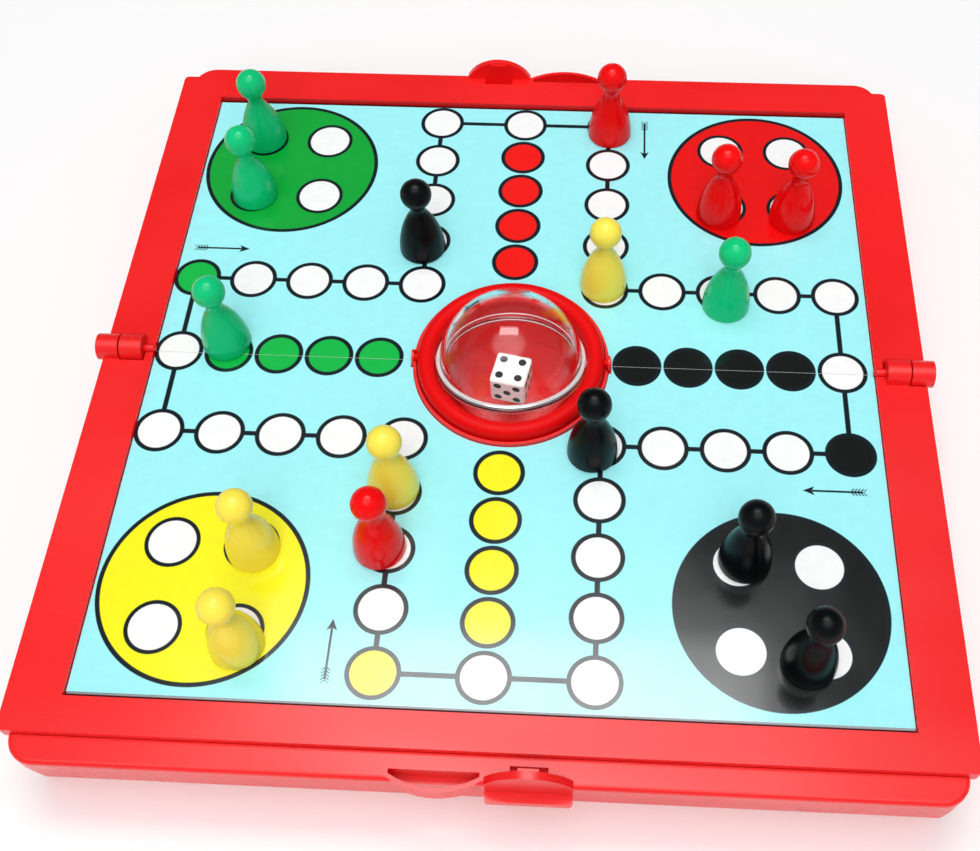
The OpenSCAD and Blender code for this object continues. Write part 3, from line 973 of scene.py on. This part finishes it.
@dataclass
class PawnSet:
    """The sixteen pawns and their magnets. Sizes are in millimetres.

    body_start is a share of the foot's rounding. body_share and chin_share cut short the arcs of the body and
    of the head where they meet the neck.
    """

    base_d: float = 11.8
    body_h: float = 13.8
    neck_d: float = 3.8
    head_d: float = 7.8
    head_z: float = 19.9
    foot_round: float = 0.35
    body_start: float = 1.2
    body_share: float = 0.93
    chin_share: float = 0.86
    throat: Point = (0.5, 1.2)
    magnet_d: float = 6.1
    magnet_t: float = 2.6
    count: int = 4
    foot_steps: int = 4
    body_steps: int = 14
    head_steps: int = 16
    round_steps: int = 64

    def outline(self) -> list[Point]:
        """Half outline from the magnet's seat round to the top of the head.

        Returns:
            Radius and height of each point.
        """
        base, neck, head = self.base_d / 2, self.neck_d / 2, self.head_d / 2
        draw_in = base - neck
        bell = (self.body_h ** 2 + draw_in ** 2) / (2 * draw_in)
        start = math.degrees(math.asin(self.body_start * self.foot_round / bell))
        top = math.degrees(math.asin(self.body_h / bell))
        foot = arc((base - self.foot_round, self.foot_round), self.foot_round, -90, 0, self.foot_steps)
        body = arc((base - bell, 0), bell, start, top * self.body_share, self.body_steps)
        chin = math.degrees(math.acos(neck / head)) * self.chin_share
        throat = [(neck, self.body_h + rise) for rise in self.throat]
        skull = arc((0, self.head_z), head, -chin, 90, self.head_steps)
        seat = [(0, self.magnet_t), (self.magnet_d / 2, self.magnet_t), (self.magnet_d / 2, 0)]
        return seat + foot + body + throat + skull[:-1] + [(0, self.head_z + head)]

    def build(self) -> Iterable[str]:
        """Turn one pawn and copy it to every place.

        Returns:
            The names of the pieces.
        """
        pattern = Bench.lathe("pawn_pattern", self.outline(), self.round_steps)
        for side in Side:
            for number in range(1, self.count + 1):
                node = f"{side.value}_pawn_{number}"
                low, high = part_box(node)
                pawn = Bench.copy(pattern, f"{node}_body")
                Bench.settle(pawn, Vector(((low.x + high.x) / 2, (low.y + high.y) / 2, low.z)))
                dress(pawn, PAWN_FINISH[side])
                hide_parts(node)
                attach(pawn, node)
                dress(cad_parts[f"{node}_magnet"], MAGNET)
                yield pawn.name
        bpy.data.objects.remove(pattern)


@dataclass
class DiceBall:
    """The clear ball and the die in it. Sizes are in millimetres and turns in degrees."""

    ball_r: float = 17.4
    wall: float = 1.1
    tilt: float = -14.0
    flange_out: float = 0.8
    flange_t: float = 1.2
    seam: float = 0.02
    edge: float = 0.25
    pivot_r: float = 1.0
    pivot_from: float = 17.9
    pivot_round: float = 0.3
    die_edge: float = 9.0
    die_round: float = 0.8
    die_yaw: float = -11.0
    die_smooth: float = 30.0
    pip_r: float = 1.3
    pip_depth: float = 0.48
    pip_pitch: float = 2.4
    shell_steps: int = 36
    pivot_steps: int = 32
    round_steps: int = 4
    bevel_steps: int = 5
    pip_steps: tuple[int, int] = (24, 12)
    middle: Vector = field(init=False)
    pivot_to: float = field(init=False)

    def __post_init__(self) -> None:
        """Take the middle of the ball and the reach of its pivots from the frame."""
        low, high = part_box("dice_ring")
        self.middle = (low + high) / 2
        self.pivot_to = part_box("ball_bowl")[1].x / MM

    def build(self) -> Iterable[str]:
        """Build the shells and the die.

        Returns:
            The names of the pieces.
        """
        for maker in (self.dome, self.bowl, self.die):
            yield maker().name

    def half_profile(self, up: int) -> list[Point]:
        """Half outline of one shell, from its inner pole round the flange to its outer pole.

        Args:
            up: One for the dome, minus one for the bowl.

        Returns:
            Radius and height of each point.
        """
        inner, rim = self.ball_r - self.wall, self.ball_r + self.flange_out
        low, top = self.seam / 2, self.flange_t
        meet = math.degrees(math.asin(top / self.ball_r))
        inside = arc((0, 0), inner, 90, 0, self.shell_steps)
        outside = arc((0, 0), self.ball_r, meet, 90, self.shell_steps)
        flange = [(inner, low), (rim - self.edge, low), (rim, low + self.edge), (rim, top - self.edge),
                  (rim - self.edge, top)]
        profile = [(0, inner)] + inside[1:-1] + flange + outside[:-1] + [(0, self.ball_r)]
        return [(radius, up * height) for radius, height in profile]

    def shell(self, name: str, up: int) -> Piece:
        """Turn one shell, with its flange's rim in the second material, whose pale colour is a painted
        highlight.

        Args:
            name: Name of the shell.
            up: One for the dome, minus one for the bowl.

        Returns:
            The shell at the origin.
        """
        shell = Bench.lathe(name, self.half_profile(up))
        dress(shell, CLEAR, FROSTED_RIM_PAINTED_GLINT)
        from_h = self.flange_t - self.edge
        from_r = self.ball_r if up > 0 else self.ball_r + self.flange_out - self.edge
        # Faces of the flange's rim take the frosted finish with its painted highlight.
        for face in shell.data.polygons:
            radius, height = face.center.xy.length / MM, abs(face.center.z) / MM
            face.material_index = int(radius > from_r and height > from_h)
        return shell

    def dome(self) -> Piece:
        """Upper shell with its flange.

        Returns:
            The piece.
        """
        shell = self.shell("dome_shell", 1)
        Bench.settle(shell, self.middle, math.radians(self.tilt))
        return self.mount(shell, "ball_dome", "dice_ball", "clear_shell")

    def bowl(self) -> Piece:
        """Lower shell with its flange and its two pivots.

        Returns:
            The piece.
        """
        shell = self.shell("bowl_shell", -1)
        shell = Bench.join([shell] + [self.pivot(side) for side in (-1, 1)])
        Bench.settle(shell, self.middle, math.radians(self.tilt))
        return self.mount(shell, "ball_bowl", "dice_ball", "clear_shell")

    def pivot(self, side: int) -> Piece:
        """One pivot pin with a rounded end.

        Args:
            side: Minus one for the left pin, one for the right pin.

        Returns:
            The pin, along the fold line.
        """
        length = self.pivot_to - self.pivot_from
        tip = arc((self.pivot_r - self.pivot_round, length - self.pivot_round), self.pivot_round, 0, 90,
                  self.round_steps)
        outline = [(0, 0), (self.pivot_r, 0)] + tip + [(0, length)]
        pin = Bench.lathe("ball_pivot", outline, self.pivot_steps)
        Bench.hold(pin)
        pin.rotation_euler = (0, side * math.pi / 2, 0)
        pin.location = (side * self.pivot_from * MM, 0, 0)
        bpy.ops.object.transform_apply(location=True, rotation=True, scale=True)
        dress(pin, CLEAR)
        return pin

    @staticmethod
    def mount(piece: Piece, node: str, body: str, slot: str) -> Piece:
        """Let a piece stand for its node.

        Args:
            piece: The dressed piece in its place.
            node: The node that it stands for.
            body: The body that it rides on.
            slot: Name of its material slot; not used.

        Returns:
            The piece.
        """
        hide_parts(node)
        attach(piece, body)
        return piece

    @staticmethod
    def pips(number: int) -> list[Point]:
        """Places of a face's pips.

        Args:
            number: Value of the face.

        Returns:
            The places in steps of the pips' spacing.
        """
        places: list[Point] = [(0, 0)] if number % 2 else []
        if number > 1:
            places += [(-1, -1), (1, 1)]
        if number > 3:
            places += [(-1, 1), (1, -1)]
        if number == 6:
            places += [(-1, 0), (1, 0)]
        return places

    def die(self) -> Piece:
        """The die, with its pips hollowed out and inked.

        Returns:
            The piece.
        """
        Bench.clear()
        bpy.ops.mesh.primitive_cube_add(size=self.die_edge * MM)
        cube = bpy.context.object
        cube.name = "die_cube"
        bpy.ops.object.mode_set(mode="EDIT")
        bpy.ops.mesh.select_all(action="SELECT")
        bpy.ops.mesh.bevel(offset=self.die_round * MM, segments=self.bevel_steps, affect="EDGES")
        Bench.close(self.die_smooth)
        dress(cube, DIE_WHITE, PIP_BLACK)
        cutter = self.pip_cutter()
        Bench.finish(cube, "BOOLEAN", operation="DIFFERENCE", object=cutter, solver="EXACT",
                     material_mode="INDEX")
        bpy.data.objects.remove(cutter)
        low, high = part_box("die")
        Bench.settle(cube, (low + high) / 2, yaw=math.radians(self.die_yaw))
        bpy.ops.object.shade_smooth_by_angle(angle=math.radians(self.die_smooth))
        return self.mount(cube, "die", "die", "die_white")

    def pip_cutter(self) -> Piece:
        """Balls that hollow out all the pips.

        Returns:
            The joined balls, with the ink as their second material.
        """
        quarter = math.pi / 2
        # The turn that takes each value's pips from the top to their own face.
        faces = {4: (0, 0, 0), 3: (math.pi, 0, 0), 5: (quarter, 0, 0), 2: (-quarter, 0, 0),
                 6: (0, quarter, 0), 1: (0, -quarter, 0)}
        balls = []
        segments, rings = self.pip_steps
        reach = self.die_edge / 2 + self.pip_r - self.pip_depth
        for number, turn in faces.items():
            for across, along in self.pips(number):
                spot = Vector((across * self.pip_pitch, along * self.pip_pitch, reach)) * MM
                Bench.clear()
                bpy.ops.mesh.primitive_uv_sphere_add(
                    segments=segments, ring_count=rings, radius=self.pip_r * MM,
                    location=Euler(turn).to_matrix() @ spot)
                balls.append(bpy.context.object)
        cutter = Bench.join(balls)
        bpy.ops.object.transform_apply(location=True, rotation=True, scale=True)
        dress(cutter, DIE_WHITE, PIP_BLACK)
        for face in cutter.data.polygons:
            face.material_index = 1
        return cutter


@dataclass
class Studio:
    """Floor, lights and camera, in metres and degrees unless a name says otherwise."""

    focal_px: float = 1220.7
    elevation: float = 57.54
    azimuth: float = 3.94
    roll: float = 1.3
    eye_mm: Triple = (17.69, -170.28, 244.6)
    centre_px: Point = (536.7, 416.1)
    sensor_mm: float = 36.0
    near_clip: float = 0.01
    floor_size: float = 6.0
    tent_axis: Triple = (-0.03, -0.16, 0.987)
    tent_edge: Point = (0.86, 0.966)
    tent_light: float = 2.25
    room_span: Point = (-0.3, 0.5)
    room_light: Point = (0.38, 0.15)
    strip_place: Triple = (-0.04, 0.27, 1.2)
    strip_size: Point = (0.58, 0.28)
    strip_watts: float = 4.0
    fill_place: Triple = (0.0, -0.66, 0.84)
    fill_size: Point = (0.6, 0.6)
    fill_watts: float = 3.2

    def build(self) -> Iterable[str]:
        """Set up the floor, the lights and the camera.

        Returns:
            The names of what was made.
        """
        scene = bpy.context.scene
        scene.view_settings.view_transform = "Standard"
        yield self.floor().name
        scene.world = self.tent()
        yield self.softbox("strip_softbox", self.strip_place, self.strip_size, self.strip_watts).name
        fill = self.softbox("fill_softbox", self.fill_place, self.fill_size, self.fill_watts)
        fill.rotation_euler = Vector(self.fill_place).to_track_quat("Z", "Y").to_euler()
        fill.visible_glossy = False
        yield fill.name
        scene.camera = self.camera()
        yield scene.camera.name

    def floor(self) -> Piece:
        """Plain pale floor under the board.

        Returns:
            The floor.
        """
        Bench.clear()
        bpy.ops.mesh.primitive_plane_add(size=self.floor_size)
        floor = bpy.context.object
        floor.name = "studio_floor"
        dress(floor, FLOOR)
        return floor

    def tent(self) -> bpy.types.World:
        """White light tent: bright round its top, dim towards the room and dimmest at the back.

        Returns:
            The world.
        """
        world = bpy.data.worlds.new("light_tent")
        world.use_nodes = True
        graph = Graph(world.node_tree)
        toward = graph.add("ShaderNodeVectorMath", operation="DOT_PRODUCT")
        graph.feed(toward.inputs[0], graph.place())
        toward.inputs[1].default_value = self.tent_axis
        _, depth, _ = graph.parts(graph.place())
        top = graph.ramp(toward.outputs["Value"], *self.tent_edge, 0, self.tent_light, "SMOOTHSTEP")
        room = graph.ramp(depth, *self.room_span, *self.room_light, "SMOOTHSTEP")
        shell = world.node_tree.nodes["Background"].inputs
        shell["Color"].default_value = rgb(1, 1, 1)
        graph.feed(shell["Strength"], top + room)
        return world

    @staticmethod
    def softbox(name: str, place: Triple, size: Point, watts: float) -> bpy.types.Object:
        """Soft light that faces straight down.

        Args:
            name: Name of the light.
            place: Where it hangs.
            size: Its length along the fold line and its width.
            watts: Its power.

        Returns:
            The light.
        """
        Bench.clear()
        bpy.ops.object.light_add(type="AREA", location=place)
        light = bpy.context.object
        light.name = name
        light.data.shape = "RECTANGLE"
        light.data.size, light.data.size_y = size
        light.data.energy = watts
        return light

    def camera(self) -> bpy.types.Object:
        """Camera at the photograph's viewpoint.

        Returns:
            The camera.
        """
        data = bpy.data.cameras.new("photo_camera")
        data.sensor_fit = "HORIZONTAL"
        data.sensor_width = self.sensor_mm
        data.lens = self.focal_px / PHOTO_W * self.sensor_mm
        data.shift_x = (PHOTO_W / 2 - self.centre_px[0]) / PHOTO_W
        data.shift_y = (self.centre_px[1] - PHOTO_H / 2) / PHOTO_W
        data.clip_start = self.near_clip
        camera = bpy.data.objects.new("photo_camera", data)
        bpy.context.scene.collection.objects.link(camera)
        play_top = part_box("front_print")[1].z
        az, el, roll = (math.radians(angle) for angle in (self.azimuth, self.elevation, self.roll))
        back = Vector((math.sin(az) * math.cos(el), -math.cos(az) * math.cos(el), math.sin(el)))
        right = (-back).cross(Vector((0, 0, 1))).normalized()
        down = (-back).cross(right)
        level = math.cos(roll) * right + math.sin(roll) * down
        drop = math.cos(roll) * down - math.sin(roll) * right
        turn = Matrix((level, -drop, back)).transposed().to_4x4()
        eye = Vector(self.eye_mm) * MM + Vector((0, 0, play_top))
        camera.matrix_world = Matrix.Translation(eye) @ turn
        return camera


def main() -> None:
    """Build every sub-assembly in order and report its pieces."""
    logging.basicConfig(level=logging.INFO, format="%(name)s: %(message)s")
    for part in (Casing(), PawnSet(), DiceBall(), Studio()):
        for name in part.build():
            LOG.info("%s: %s", type(part).__name__, name)


if __name__ == "__main__":
    main()
